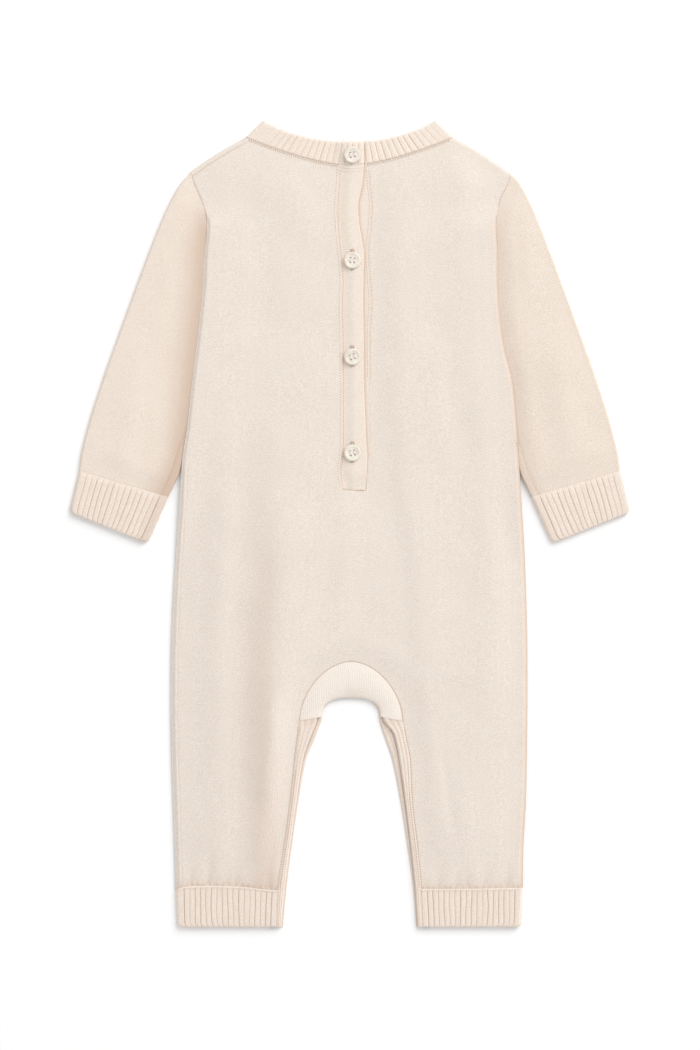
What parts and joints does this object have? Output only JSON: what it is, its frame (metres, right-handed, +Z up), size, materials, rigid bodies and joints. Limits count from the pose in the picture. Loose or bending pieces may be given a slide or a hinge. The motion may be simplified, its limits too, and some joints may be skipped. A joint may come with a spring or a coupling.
{
  "type": "baby romper",
  "caption": "Long-sleeved knitted baby romper laid flat with its back up, with a button stand down the back, ribbed neckband and cuffs, and a half-moon crotch gusset.",
  "frame": {"origin": "middle of the garment's outline on the surface it lies on", "axes": "+Y towards the neck, +X to the right as seen from above, +Z up out of the surface, with the garment's back on top"},
  "size_m": [0.3816, 0.548, 0.0082],
  "materials": {
    "jersey": "fine cotton jersey knit, matt, cream",
    "ribbing": "cotton rib knit, matt, cream",
    "button": "pale pearl polyester, softly glossy"
  },
  "bodies": {
    "root": {"back_panel": "jersey", "front_panel": "jersey", "sleeve_left": "jersey", "sleeve_right": "jersey", "gusset": "jersey", "placket_upper": "jersey", "placket_lower": "jersey", "neckband": "ribbing", "sleeve_cuff_left": "ribbing", "sleeve_cuff_right": "ribbing", "leg_cuff_left": "ribbing", "leg_cuff_right": "ribbing", "inseam_band_back_left": "ribbing", "inseam_band_back_right": "ribbing", "inseam_band_front": "ribbing", "button_1": "button", "button_2": "button", "button_3": "button", "button_4": "button"}
  },
  "joints": []
}
